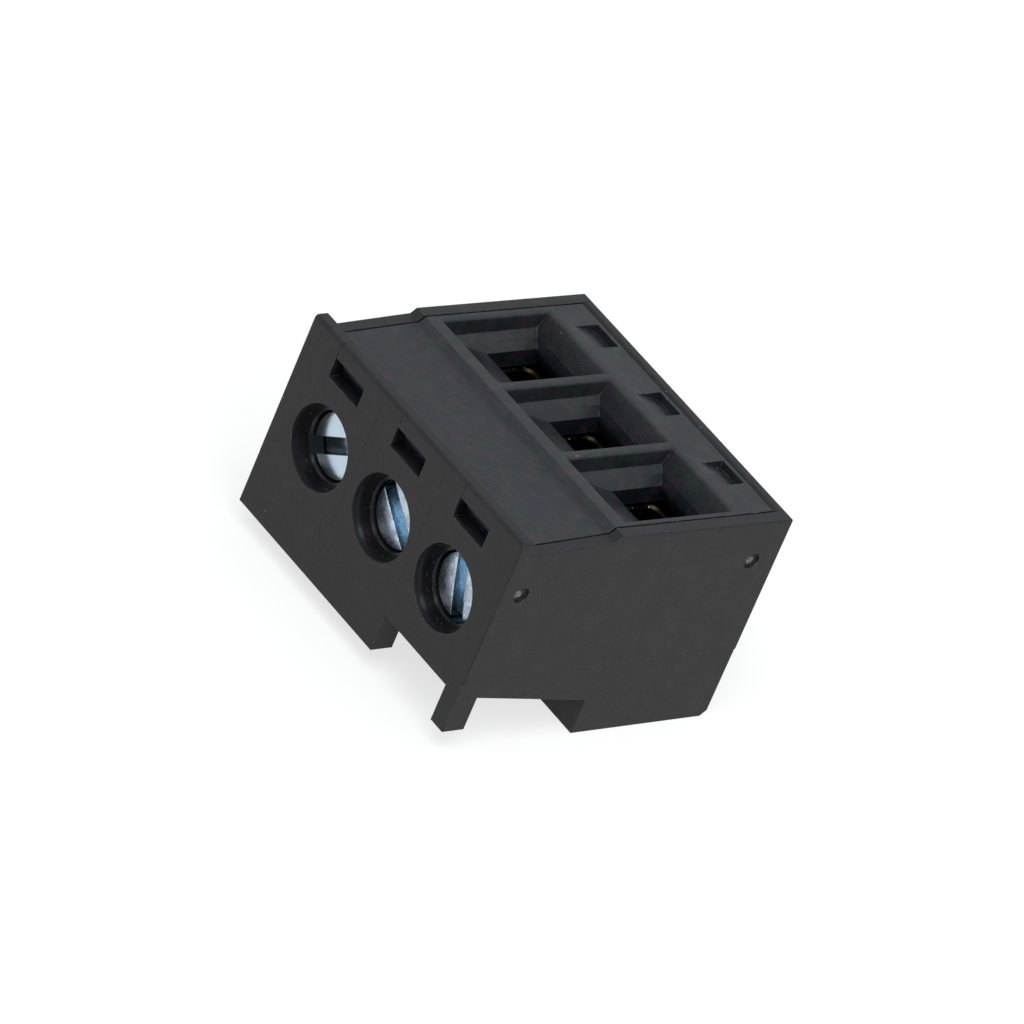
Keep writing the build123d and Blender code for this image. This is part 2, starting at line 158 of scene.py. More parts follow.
class PlasticSettings(bpy.types.PropertyGroup):
    """Moulded plastic of the housing and the cover"""

    housing: colour("Housing", "Colour of the housing", (0.0064, 0.0058, 0.0068))
    cover: colour("Cover", "Colour of the wire entry cover", (0.0055, 0.0075, 0.0112))
    violet: colour("Violet", "Violet cast of some patches of the plastic", (0.017, 0.011, 0.017))
    green: colour("Green", "Green cast of some patches of the plastic", (0.008, 0.0135, 0.0125))
    housing_cast: share("Housing cast", "How much of the violet and green the housing has", 0.15)
    cover_cast: share("Cover cast", "How much of the violet and green the cover has", 1.0)
    housing_sheen: share("Housing sheen", "Strength of the housing's reflection", 0.30)
    cover_sheen: share("Cover sheen", "Strength of the cover's reflection", 0.385)
    # Also the colour of the painted highlights along edges and in the end face's marks
    specks_and_highlights: colour("Specks", "Colour of tiny light specks and worn edges", (0.22, 0.22, 0.225))
    roughness: share("Roughness", "Roughness of the moulded surface", 0.50)
    grain: length("Grain", "Size of the mould's fine texture", 0.11)
    polish: share("Polish", "Roughness inside the bores, windows and wire holes", 0.24)
    skin: length("Skin", "Depth at which the smoother inside starts", 0.10)
    grain_height: length("Grain height", "Height of the housing's fine texture", 0.016)
    cover_grain: length("Cover grain", "Height of the cover's fine texture", 0.026)
    edge: length("Edge", "Radius at which moulded edges are broken", 0.05)


class MouldSettings(bpy.types.PropertyGroup):
    """Fine marks that the mould leaves on the housing and the cover"""

    parting_height: length("Parting height", "Height of the mould's parting line", 3.87)
    parting_step: length("Parting step", "How far the lower half is set in", 0.045)
    # Painted highlight: radius of the pale spot painted in each round mark of the +X end face
    mark_highlight_radius: length("Mark highlight radius", "Radius of the torn spots in the +X end face", 0.24)
    line_width: length("Line width", "Width of the faint lines between poles", 0.045)
    line_depth: length("Line depth", "Depth of the faint lines between poles", 0.008)
    line_top: length("Line top", "Start of the lines between poles, below the lip", 0.45)
    line_bottom: length("Line bottom", "End of the lines between poles, below the lip", 7.40)
    slit_width: length("Slit width", "Width of the slit above each window", 0.034)
    slit_depth: length("Slit depth", "Depth of the slit above each window", 0.20)
    window_width: length("Window width", "Width of each latch window", 2.33)
    window_drop: length("Window drop", "Top of each latch window, below the lip", 0.81)
    cover_line_start: length("Cover line start", "Front end of the cover's pole lines", 1.30)
    cover_line_end: length("Cover line end", "Back end of the cover's pole lines", 4.90)
    core_front: length("Core front", "Depth at which the smooth inside starts", 0.16)
    core_end: length("Core end", "End and back wall outside of the smooth inside", 0.55)
    core_bottom: length("Core bottom", "Lower limit of the smooth inside", 3.60)
    core_top: length("Core top", "Upper limit of the smooth inside, below the lip", 0.80)
    cover_core_top: length("Cover core top", "Top of the smooth wire holes, below the cover's",
                           1.20)


class ScrewSettings(bpy.types.PropertyGroup):
    """Turned and plated clamp screws"""

    zinc: colour("Zinc", "Colour of the bright zinc plating", (0.51, 0.62, 0.72))
    film: colour("Film", "Tint of the passivated film in the slot", (0.58, 0.79, 0.92))
    bare: colour("Bare slot", "Tint of a slot that has hardly any film", (0.26, 0.34, 0.40))
    dull: colour("Dull film", "Tint of the film where it is thicker", (0.22, 0.22, 0.29))
    films: FloatVectorProperty(
        name="Films", description="How much of each screw's face has the thicker film",
        default=(0.15, 0.75, 0.85), size=3, min=0.0, max=1.0)
    roughness: share("Roughness", "Roughness of the plating", 0.20)
    film_roughness: share("Film roughness", "Roughness where the film is thickest", 0.34)
    thread_radius: length("Thread radius", "Outer radius of the thread", 1.25)
    thread_pitch: length("Thread pitch", "Advance of the thread in one turn", 0.45)
    head_height: length("Head height", "Thickness of the head", 1.13)
    head_dome: length("Head dome", "Fall of the domed face towards its rim", 0.04)
    head_edge: length("Head edge", "Radius around the head's rim", 0.06)
    slot_width: length("Slot width", "Width of the driver slot", 0.80)
    slot_depth: length("Slot depth", "Depth of the driver slot", 0.68)
    slot_edge: length("Slot edge", "Width of the slot's broken edges", 0.07)
    slot_angles: FloatVectorProperty(
        name="Slot angles", description="Turn of each slot from the row towards the roof",
        default=[math.radians(angle) for angle in (35.0, -35.0, -70.0)],
        size=3, subtype="EULER", unit="ROTATION")
    mark_height: length("Mark height", "Height of the tool marks in the plating", 0.0012)
    tip_length: length("Tip length", "Length of the plain point", 0.45)
    tip_radius: length("Tip radius", "Radius of the plain point", 0.90)


class CageSettings(bpy.types.PropertyGroup):
    """Drawn brass cages, tinned contacts and bronze springs"""

    # Nearly black: painted shade for the cages, which sit deep in the wire holes
    brass: colour("Brass", "Colour of the clamp cages", (0.022, 0.0155, 0.0075))
    tin: colour("Tin", "Colour of the tinned contact strips", (0.66, 0.65, 0.61))
    bronze: colour("Bronze", "Colour of the pin springs", (0.62, 0.44, 0.27))
    tarnish: colour("Tarnish", "Colour of tarnish on the copper alloys", (0.008, 0.005, 0.003))
    # Painted highlight: colour of the rare bright points that stand in for glints
    painted_glint: colour("Painted glint", "Colour of bright points in the alloy", (0.95, 0.92, 0.84))
    painted_glint_spacing: length("Painted glint spacing", "Distance between bright points", 0.30)
    nut_wall: length("Nut wall", "Thickness of the cage's nut wall", 1.50)
    nut_bore: length("Nut bore", "Radius of the plain bore under the nut's thread", 1.30)
    thread_gap: length("Thread gap", "Gap between the flanks of nut and screw", 0.025)


class StudioSettings(bpy.types.PropertyGroup):
    """Floor, lamps and camera"""

    azimuth: FloatProperty(name="Azimuth", description="Camera's turn from the screw face",
                           default=math.radians(41.824), subtype="ANGLE", unit="ROTATION")
    elevation: FloatProperty(name="Elevation", description="Camera's height angle",
                             default=math.radians(31.036), subtype="ANGLE", unit="ROTATION")
    roll: FloatProperty(name="Roll", description="Camera's turn about its own axis",
                        default=math.radians(23.410), subtype="ANGLE", unit="ROTATION")
    distance: length("Distance", "From the aim point to the camera", 444.38)
    aim: FloatVectorProperty(name="Aim", description="Point that the camera looks at",
                             default=(-0.096 * MM, -0.005 * MM, 5.956 * MM),
                             size=3, precision=6, subtype="XYZ", unit="LENGTH")
    lens: FloatProperty(name="Lens", description="Focal length in millimetres on a 36 mm sensor",
                        default=348.25, min=1.0)
    floor_size: length("Floor size", "Width of the floor", 3000.0)
    floor_white: share("Floor white", "Share of plain white in the floor as it is seen", 0.72)
    ambient: FloatProperty(name="Ambient", description="Strength of the light from all sides",
                           default=0.55, min=0.0)
    sky: colour("Sky", "Colour of the studio above, as gloss shows it", (0.93, 0.97, 1.0))
    zenith: share("Zenith", "How bright the studio is overhead, as gloss shows it", 0.45)
    zenith_start: FloatProperty(name="Zenith start", description="Angle at which it darkens",
                                default=math.radians(28.0), subtype="ANGLE", unit="ROTATION")
    samples: IntProperty(name="Edge samples", description="Samples for broken edges",
                         default=8, min=2)


SETTINGS = {
    "plastic": PlasticSettings,
    "mould": MouldSettings,
    "screw": ScrewSettings,
    "cage": CageSettings,
    "studio": StudioSettings,
}


class BlockSettings(bpy.types.PropertyGroup):
    """All settings of the terminal block"""

    plastic: PointerProperty(type=PlasticSettings)
    mould: PointerProperty(type=MouldSettings)
    screw: PointerProperty(type=ScrewSettings)
    cage: PointerProperty(type=CageSettings)
    studio: PointerProperty(type=StudioSettings)


def settings():
    """The scene's own settings for the block."""
    return bpy.context.scene.terminal_block


# Node trees

def fill(tree, node, inputs):
    """Link each of a node's inputs that is given as a socket, and set any other."""
    for name, value in inputs.items():
        if isinstance(value, bpy.types.NodeSocket):
            tree.links.new(value, node.inputs[name])
        else:
            node.inputs[name].default_value = value


def add(tree, kind, inputs=None, **options):
    """Add a node with the given options and inputs."""
    made = tree.nodes.new(kind)
    for name, value in options.items():
        setattr(made, name, value)
    fill(tree, made, inputs or {})
    return made


def maths(tree, operation, first, second=0.0, clamp=False):
    """The result of one sum on two values."""
    made = add(tree, "ShaderNodeMath", {0: first, 1: second}, operation=operation)
    made.use_clamp = clamp
    return made.outputs[0]


def times(tree, first, second):
    """The product of two values."""
    return maths(tree, "MULTIPLY", first, second)


def vector_maths(tree, operation, first, second=(0.0, 0.0, 0.0)):
    """The outputs of one sum on two vectors."""
    return add(tree, "ShaderNodeVectorMath", {0: first, 1: second}, operation=operation).outputs


def ramp(tree, value, low, high, from_value=0.0, to_value=1.0):
    """A value that goes smoothly from one level to another as the input passes two limits."""
    inputs = {"Value": value, "From Min": low, "From Max": high, "To Min": from_value,
              "To Max": to_value}
    made = add(tree, "ShaderNodeMapRange", inputs, interpolation_type="SMOOTHSTEP")
    return made.outputs["Result"]


def blend(tree, amount, first, second):
    """A colour between two others."""
    made = add(tree, "ShaderNodeMix", {0: amount, 6: first, 7: second}, data_type="RGBA")
    return made.outputs[2]


def rgba(values):
    """A colour property with full alpha."""
    return (*values, 1.0)


SOCKETS = {float: "NodeSocketFloat", tuple: "NodeSocketVector"}


def new_group(name, kind, inputs, outputs):
    """A node group with named sockets, its input sockets and its output node."""
    tree = bpy.data.node_groups.new(name, kind)
    for socket, value in inputs.items():
        made = tree.interface.new_socket(name=socket, in_out="INPUT",
                                         socket_type=SOCKETS[type(value)])
        made.default_value = value
    for socket, socket_type in outputs.items():
        tree.interface.new_socket(name=socket, in_out="OUTPUT", socket_type=socket_type)
    given = tree.nodes.new("NodeGroupInput").outputs
    result = tree.nodes.new("NodeGroupOutput")
    return tree, given, result


def object_place(tree):
    """Object coordinates, in metres."""
    return add(tree, "ShaderNodeTexCoord").outputs["Object"]


def noise(tree, place, scale, detail, roughness=0.5, distortion=0.0):
    """The outputs of a noise texture."""
    return add(tree, "ShaderNodeTexNoise", {
        "Vector": place, "Scale": scale, "Detail": detail, "Roughness": roughness,
        "Distortion": distortion}).outputs


def cells(tree, place, scale):
    """Distance from the middle of scattered cells, and two random numbers for each cell."""
    made = add(tree, "ShaderNodeTexVoronoi", {"Vector": place, "Scale": scale}).outputs
    chosen = add(tree, "ShaderNodeSeparateColor", {"Color": made["Color"]}).outputs
    return made["Distance"], chosen["Red"], chosen["Green"]


def axes(tree, vector):
    """The three parts of a vector."""
    return add(tree, "ShaderNodeSeparateXYZ", {"Vector": vector}).outputs


def mould_grain_group():
    """Texture of a spark-eroded mould: its height, tone, specks and patches with a cast."""
    outputs = dict.fromkeys(("Height", "Tone", "Specks", "Violet", "Green"), "NodeSocketFloat")
    tree, given, result = new_group("mould_grain", "ShaderNodeTree", {"Grain": 0.1 * MM},
                                    outputs)
    place = object_place(tree)
    frequency = maths(tree, "DIVIDE", 1.0, given["Grain"])
    fine = noise(tree, place, frequency, 3.0, 0.62)["Fac"]
    pits = cells(tree, place, times(tree, frequency, PIT_FREQUENCY))[0]
    both = maths(tree, "ADD", times(tree, fine, GRAIN_SHARE),
                 times(tree, ramp(tree, pits, *PIT_WALL), PIT_SHARE))
    broad = noise(tree, place, times(tree, frequency, TONE_FREQUENCY), 4.0, 0.7)["Fac"]
    mottle = noise(tree, place, times(tree, frequency, CAST_FREQUENCY), 3.0, 0.6)["Color"]
    casts = add(tree, "ShaderNodeSeparateColor", {"Color": mottle}).outputs
    away, chance, size = cells(tree, place, times(tree, frequency, SPECK_FREQUENCY))
    rare = maths(tree, "GREATER_THAN", chance, SPECK_RARITY)
    near = maths(tree, "LESS_THAN", away, ramp(tree, size, 0.0, 1.0, *SPECK_SIZE))
    fill(tree, result, {"Height": both, "Tone": broad, "Specks": times(tree, near, rare),
                        "Violet": ramp(tree, casts["Red"], *CAST_PATCH),
                        "Green": ramp(tree, casts["Green"], *CAST_PATCH)})
    return tree


def broken_edge_group(samples):
    """Small radius along hard edges, and a mask of the places where it is rubbed pale, which
    also carries painted highlights along the edges.
    """
    outputs = {"Normal": "NodeSocketVector", "Worn": "NodeSocketFloat"}
    inputs = {"Radius": 0.05 * MM, "Patch": 0.3 * MM}
    tree, given, result = new_group("broken_edge", "ShaderNodeTree", inputs, outputs)
    rounded = add(tree, "ShaderNodeBevel", {"Radius": given["Radius"]}, samples=samples)
    facing = add(tree, "ShaderNodeNewGeometry").outputs["Normal"]
    alike = vector_maths(tree, "DOT_PRODUCT", rounded.outputs[0], facing)["Value"]
    edge = ramp(tree, maths(tree, "SUBTRACT", 1.0, alike), *EDGE_TURN)
    frequency = maths(tree, "DIVIDE", 1.0, given["Patch"])
    patches = noise(tree, object_place(tree), frequency, 4.0, 0.75)["Fac"]
    fill(tree, result, {"Normal": rounded.outputs[0],
                        "Worn": times(tree, edge, ramp(tree, patches, *WEAR_AND_HIGHLIGHT_PATCH))})
    return tree


def stain_group():
    """Patchy film or tarnish on metal: a slow mask and a fine one."""
    outputs = dict.fromkeys(("Broad", "Fine"), "NodeSocketFloat")
    tree, given, result = new_group("stain", "ShaderNodeTree", {"Patch": 0.5 * MM}, outputs)
    place = object_place(tree)
    frequency = maths(tree, "DIVIDE", 1.0, given["Patch"])
    broad = noise(tree, place, frequency, 3.0, distortion=0.6)["Fac"]
    fine = noise(tree, place, times(tree, frequency, FINE_FREQUENCY), 5.0, 0.7)["Fac"]
    fill(tree, result, {"Broad": ramp(tree, broad, *BROAD_STAIN),
                        "Fine": ramp(tree, fine, *FINE_STAIN)})
    return tree


def shared_group(name):
    """One of the shared shader groups, built once."""
    if name in bpy.data.node_groups:
        return bpy.data.node_groups[name]
    makers = {"mould_grain": mould_grain_group, "stain": stain_group,
              "broken_edge": lambda: broken_edge_group(settings().studio.samples)}
    return makers[name]()


def place_group(tree, name, inputs):
    """The outputs of a shared group placed in a material."""
    return add(tree, "ShaderNodeGroup", inputs, node_tree=shared_group(name)).outputs


def new_material(name):
    """A material with one Principled shader, its tree and that shader."""
    made = bpy.data.materials.new(name)
    made.use_nodes = True
    return made, made.node_tree, made.node_tree.nodes["Principled BSDF"]


# Materials

def relief(tree, shader, height, normal, distance):
    """Raise a material's surface by a height mask."""
    made = add(tree, "ShaderNodeBump", {"Height": height, "Normal": normal,
                                        "Distance": distance, "Strength": 1.0})
    tree.links.new(made.outputs["Normal"], shader.inputs["Normal"])


def inside(tree, low, high, soft):
    """1 inside the box between two corners, falling to 0 at its sides."""
    middle = (Vector(low) + Vector(high)) / 2
    half = (Vector(high) - Vector(low)) / 2
    away = vector_maths(tree, "SUBTRACT", object_place(tree), middle)[0]
    away = vector_maths(tree, "SUBTRACT", vector_maths(tree, "ABSOLUTE", away)[0], half)[0]
    parts = axes(tree, away)
    furthest = maths(tree, "MAXIMUM", maths(tree, "MAXIMUM", parts[0], parts[1]), parts[2])
    return ramp(tree, furthest, 0.0, -soft)


def mark_highlights(tree):
    """Painted highlights: pale spots at the bottom of the two small round marks in the +X end
    face.
    """
    radius = settings().mould.mark_highlight_radius
    place = object_place(tree)
    ragged = noise(tree, place, MARK_HIGHLIGHT_SCALE, 3.0)["Fac"]
    highlit = 0.0
    for depth, drop in END_MARKS:
        spot = (HOUSING_HIGH.x - radius / 2, HOUSING_LOW.y + depth * MM,
                HOUSING_HIGH.z - drop * MM)
        away = vector_maths(tree, "DISTANCE", place, spot)["Value"]
        highlit = maths(tree, "MAXIMUM", ramp(tree, away, radius, radius * MARK_HIGHLIGHT_CORE), highlit)
    return times(tree, highlit, ramp(tree, ragged, *MARK_HIGHLIGHT_RAGGED, 0.0, MARK_HIGHLIGHT_SHARE))


def plastic_material(name, base, cast, sheen, grain_height, core):
    """Moulded plastic: fine grain, patches of tone, pale specks, rubbed edges with painted
    highlights, painted highlights in the end face's marks, smooth inside.
    """
    plastic = settings().plastic
    made, tree, shader = new_material(name)
    grain = place_group(tree, "mould_grain", {"Grain": plastic.grain})
    edge = place_group(tree, "broken_edge", {"Radius": plastic.edge})
    darker = rgba([part * TONE_DARK for part in base])
    lighter = rgba([part * TONE_LIGHT for part in base])
    toned = blend(tree, ramp(tree, grain["Tone"], *TONE_RANGE), darker, lighter)
    for patch, patch_colour in (("Violet", plastic.violet), ("Green", plastic.green)):
        toned = blend(tree, times(tree, grain[patch], cast), toned, rgba(patch_colour))
    # Pale marks: real specks, rubbed edges that also carry painted highlights, and painted
    # highlights in the end face's marks
    pale = maths(tree, "MAXIMUM", times(tree, grain["Specks"], SPECK_SHARE),
                 times(tree, edge["Worn"], WEAR_AND_HIGHLIGHT_SHARE))
    pale = maths(tree, "MAXIMUM", pale, mark_highlights(tree))
    outside = ramp(tree, grain["Tone"], *GLOSS_RANGE, plastic.roughness - SMOOTHER,
                   plastic.roughness + ROUGHER)
    smooth = inside(tree, *core, plastic.skin)
    height = times(tree, grain["Height"], ramp(tree, smooth, 0.0, 1.0, 1.0, INSIDE_GRAIN))
    plain = add(tree, "ShaderNodeNewGeometry").outputs["Normal"]
    relief(tree, shader, height, blend(tree, smooth, edge["Normal"], plain), grain_height)
    fill(tree, shader, {"Base Color": blend(tree, pale, toned, rgba(plastic.specks_and_highlights)),
                        "Roughness": ramp(tree, smooth, 0.0, 1.0, outside, plastic.polish),
                        "Specular IOR Level": sheen})
    return made


def housing_core():
    """The box inside the housing's walls, where bores, windows and chambers lie."""
    mould = settings().mould
    low = (HOUSING_LOW.x + mould.core_end, HOUSING_LOW.y + mould.core_front, mould.core_bottom)
    high = (HOUSING_HIGH.x - mould.core_end, HOUSING_HIGH.y - mould.core_end,
            HOUSING_HIGH.z - mould.core_top)
    return low, high


def cover_core():
    """The box below the funnels of the cover, where its wire holes lie."""
    top = COVER_HIGH.z - settings().mould.cover_core_top
    return COVER_LOW, (COVER_HIGH.x, COVER_HIGH.y, top)


def zinc_material(name):
    """Bright zinc plating with a blue film, deeper in the slot, and fine tool marks."""
    screw = settings().screw
    made, tree, shader = new_material(name)
    place = add(tree, "ShaderNodeAttribute", attribute_name="screw_place").outputs["Vector"]
    amount = add(tree, "ShaderNodeAttribute", attribute_name="screw_film").outputs["Fac"]
    along, depth, over = axes(tree, place)
    film = place_group(tree, "stain", {"Patch": FILM_PATCH})
    edge = place_group(tree, "broken_edge", {"Radius": screw.slot_edge * SLOT_EDGE_SHARE})
    in_slot = ramp(tree, depth, *SLOT_FILM)
    patches = maths(tree, "ADD", times(tree, film["Broad"], BROAD_FILM),
                    times(tree, film["Fine"], FINE_FILM))
    thick = times(tree, patches, amount)
    tint = blend(tree, thick, rgba(screw.zinc), rgba(screw.dull))
    stretched = add(tree, "ShaderNodeCombineXYZ", {"X": times(tree, along, STREAK_STRETCH),
                                                   "Y": depth, "Z": over}).outputs[0]
    streaks = noise(tree, stretched, STREAK_SCALE, 4.0, 0.65)["Fac"]
    drawn = ramp(tree, streaks, *STREAK_RANGE, *STREAK_TINT)
    slot_tint = blend(tree, ramp(tree, amount, *FILM_RANGE), rgba(screw.bare), rgba(screw.film))
    tint = blend(tree, times(tree, in_slot, drawn), tint, slot_tint)
    radius = vector_maths(tree, "LENGTH", place)["Value"]
    rings = add(tree, "ShaderNodeTexNoise", {"W": radius, "Scale": RING_SCALE, "Detail": 2.0},
                noise_dimensions="1D").outputs["Fac"]
    marks = add(tree, "ShaderNodeMix", {0: in_slot, 2: rings, 3: streaks}, data_type="FLOAT")
    height = maths(tree, "ADD", marks.outputs[0], times(tree, film["Fine"], FINE_RELIEF))
    relief(tree, shader, height, edge["Normal"], screw.mark_height)
    rough = ramp(tree, thick, 0.0, FILM_FULL, screw.roughness - BARE_SMOOTHER,
                 screw.film_roughness)
    fill(tree, shader, {"Base Color": tint, "Roughness": rough, "Metallic": 1.0})
    return made


def alloy_material(name, base, roughness, tarnish_share, grain_along):
    """Drawn or rolled copper alloy: rolling marks along one axis, tarnish, bright points of
    painted glint.
    """
    cage = settings().cage
    made, tree, shader = new_material(name)
    stain = place_group(tree, "stain", {"Patch": TARNISH_PATCH})
    edge = place_group(tree, "broken_edge", {"Radius": ALLOY_EDGE})
    mixed = blend(tree, times(tree, stain["Broad"], tarnish_share), rgba(base),
                  rgba(cage.tarnish))
    # Painted glints: rare cells get a bright colour that stands in for small highlights
    away, chance = cells(tree, object_place(tree), 1.0 / cage.painted_glint_spacing)[:2]
    bright = times(tree, ramp(tree, away, *PAINTED_GLINT_SIZE),
                   maths(tree, "GREATER_THAN", chance, PAINTED_GLINT_RARITY))
    tint = blend(tree, bright, mixed, rgba(cage.painted_glint))
    mapped = add(tree, "ShaderNodeMapping", {"Vector": object_place(tree), "Scale": grain_along})
    lines = noise(tree, mapped.outputs[0], ROLLING_SCALE, 3.0)["Fac"]
    relief(tree, shader, lines, edge["Normal"], ROLLING_HEIGHT)
    rough = ramp(tree, stain["Fine"], 0.0, 1.0, roughness, roughness + STAIN_ROUGHER)
    fill(tree, shader, {"Base Color": tint, "Roughness": rough, "Metallic": 1.0})
    return made


def material(slot):
    """The material for one of the record's slots, built once."""
    name = f"{slot}_surface"
    if name in bpy.data.materials:
        return bpy.data.materials[name]
    plastic = settings().plastic
    if slot == "housing_plastic":
        return plastic_material(name, plastic.housing, plastic.housing_cast,
                                plastic.housing_sheen, plastic.grain_height, housing_core())
    if slot == "cover_plastic":
        return plastic_material(name, plastic.cover, plastic.cover_cast,
                                plastic.cover_sheen, plastic.cover_grain, cover_core())
    if slot == "zinc_plated_steel":
        return zinc_material(name)
    setting, roughness, tarnish_share, grain_along = ALLOYS[slot]
    return alloy_material(name, getattr(settings().cage, setting), roughness, tarnish_share,
                          grain_along)


# Meshes

def new_object(name, mesh):
    """An object at the origin that shows a mesh."""
    made = bpy.data.objects.new(name, mesh)
    bpy.context.scene.collection.objects.link(made)
    return made


def mesh_from(shape, name):
    """A plain mesh from an edited one, which is freed."""
    mesh = bpy.data.meshes.new(name)
    shape.to_mesh(mesh)
    shape.free()
    for extra in ("custom_normal", "sharp_face"):
        if extra in mesh.attributes:
            mesh.attributes.remove(mesh.attributes[extra])
    return mesh


def merged_copy(node):
    """A copy of a node's mesh, with its loose triangles merged into one closed surface."""
    shape = bmesh.new()
    shape.from_mesh(frame["nodes"][node].data)
    bmesh.ops.remove_doubles(shape, verts=shape.verts, dist=MERGE_DISTANCE)
    bmesh.ops.dissolve_limit(shape, angle_limit=FLAT_ANGLE, verts=shape.verts,
                             edges=shape.edges)
    return mesh_from(shape, node)


def add_box(shape, low, high):
    """Add a closed box between two corners to an edited mesh."""
    made = bmesh.ops.create_cube(shape, size=1.0)["verts"]
    size = [b - a for a, b in zip(low, high)]
    middle = [(a + b) / 2 for a, b in zip(low, high)]
    bmesh.ops.transform(shape, verts=made,
                        matrix=Matrix.Translation(middle) @ Matrix.Diagonal((*size, 1.0)))


def baked(made):
    """Turn an object's modifiers into its plain mesh."""
    graph = bpy.context.evaluated_depsgraph_get()
    mesh = bpy.data.meshes.new_from_object(made.evaluated_get(graph))
    made.modifiers.clear()
    made.data = mesh
    mesh.name = made.name
    return made


def cut(made, boxes):
    """Take boxes, each given by two corners, out of an object."""
    shape = bmesh.new()
    for low, high in boxes:
        add_box(shape, low, high)
    return cut_shape(made, shape)


def cut_shape(made, shape):
    """Take an edited mesh out of an object."""
    tool = new_object("cutter", mesh_from(shape, "cutter"))
    tool.hide_render = True
    take = made.modifiers.new("cut", "BOOLEAN")
    take.operation = "DIFFERENCE"
    take.solver = "EXACT"
    take.use_self = True
    take.object = tool
    baked(made)
    bpy.data.objects.remove(tool)
    return made


def shade(made, angle=35.0):
    """Smooth shading, apart from edges sharper than an angle in degrees."""
    made.data.shade_smooth()
    made.data.set_sharp_from_angle(angle=math.radians(angle))
    return made


def finish_piece(made, finish, body, *nodes):
    """Give a piece its material, let it ride on a body, and hide the nodes that it stands for.
    """
    made.data.materials.clear()
    made.data.materials.append(material(finish))
    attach(made, body)
    if nodes:
        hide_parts(*nodes)
    return made


def dress_node(node, finish):
    """Give a node that keeps its own shape its material."""
    made = frame["nodes"][node]
    made.data.materials.clear()
    made.data.materials.append(material(finish))


# Housing and cover

def pole_borders():
    """X of each border between two poles."""
    return [(a.x + b.x) / 2 for a, b in zip(SCREW_PLACES, SCREW_PLACES[1:])]


def pole_line_boxes():
    """Faint upright grooves between the poles, on the screw face."""
    mould = settings().mould
    front, half = HOUSING_LOW.y, mould.line_width / 2
    top = HOUSING_HIGH.z - mould.line_top
    bottom = HOUSING_HIGH.z - mould.line_bottom
    return [((x - half, front - CUT_MARGIN, bottom), (x + half, front + mould.line_depth, top))
            for x in pole_borders()]


def slit_boxes():
    """Fine slits from each window's corner up to the lip's top."""
    mould = settings().mould
    front, width, top = HOUSING_LOW.y, mould.slit_width, HOUSING_HIGH.z + CUT_MARGIN
    bottom = HOUSING_HIGH.z - mould.window_drop - width
    lefts = [place.x - mould.window_width / 2 for place in SCREW_PLACES]
    return [((left, front - CUT_MARGIN, bottom), (left + width, front + mould.slit_depth, top))
            for left in lefts]


def parting_boxes():
    """Skins and a fine groove taken off below the line where the two mould halves meet."""
    mould = settings().mould
    low, high, top = HOUSING_LOW, HOUSING_HIGH, mould.parting_height
    boxes = []
    for step, bottom in ((mould.parting_step, low.z - CUT_MARGIN),
                         (2 * mould.parting_step, top - mould.line_width)):
        skins = ((low.x - CUT_MARGIN, low.x + step, low.y - CUT_MARGIN),
                 (high.x - step, high.x + CUT_MARGIN, low.y - CUT_MARGIN),
                 (low.x - CUT_MARGIN, high.x + CUT_MARGIN, high.y - step))
        boxes += [((left, front, bottom), (right, high.y + CUT_MARGIN, top))
                  for left, right, front in skins]
    return boxes


def cover_lines(made):
    """Faint grooves between the poles, which follow the slope of the cover's low front part."""
    mould = settings().mould
    roof = BVHTree.FromObject(made, bpy.context.evaluated_depsgraph_get())
    start = HOUSING_LOW.y + mould.cover_line_start
    end = HOUSING_LOW.y + mould.cover_line_end
    half = mould.line_width / 2
    shape = bmesh.new()
    for x in pole_borders():
        add_box(shape, (x - half, start, 0), (x + half, end, COVER_HIGH.z + CUT_MARGIN))
    for vertex in shape.verts:
        if vertex.co.z == 0:
            above = Vector((vertex.co.x, vertex.co.y, COVER_HIGH.z + CUT_MARGIN))
            vertex.co.z = roof.ray_cast(above, (0, 0, -1))[0].z - mould.line_depth
    return shape


class BLOCK_OT_housing(bpy.types.Operator):
    """Dress the moulded housing with its plastic, parting step, slits and pole lines"""

    bl_idname = "terminal_block.housing"
    bl_label = "Housing"

    def execute(self, context):
        made = new_object("housing_moulding", merged_copy("housing"))
        cut(made, slit_boxes() + pole_line_boxes())
        for box in parting_boxes():
            cut(made, [box])
        shade(made)
        finish_piece(made, "housing_plastic", "block", "housing")
        return {"FINISHED"}


class BLOCK_OT_cover(bpy.types.Operator):
    """Dress the snap-in wire entry cover with its plastic"""

    bl_idname = "terminal_block.cover"
    bl_label = "Wire entry cover"

    def execute(self, context):
        made = new_object("cover_moulding", merged_copy("wire_entry_cover"))
        cut_shape(made, cover_lines(made))
        shade(made)
        finish_piece(made, "cover_plastic", "block", "wire_entry_cover")
        return {"FINISHED"}


# Screws

def lathe(profile, steps):
    """A closed shape turned about the Y axis from (radius, depth) points."""
    shape = bmesh.new()
    rings = []
    for radius, depth in profile:
        if radius == 0:
            rings.append([shape.verts.new((0, depth, 0))])
            continue
        turns = [2 * math.pi * i / steps for i in range(steps)]
        rings.append([shape.verts.new((radius * math.cos(a), depth, radius * math.sin(a)))
                      for a in turns])
    for first, second in zip(rings, rings[1:]):
        for i in range(steps):
            j = (i + 1) % steps
            corners = [first[i % len(first)], first[j % len(first)],
                       second[j % len(second)], second[i % len(second)]]
            shape.faces.new(list(dict.fromkeys(corners)))
    bmesh.ops.recalc_face_normals(shape, faces=shape.faces)
    return shape


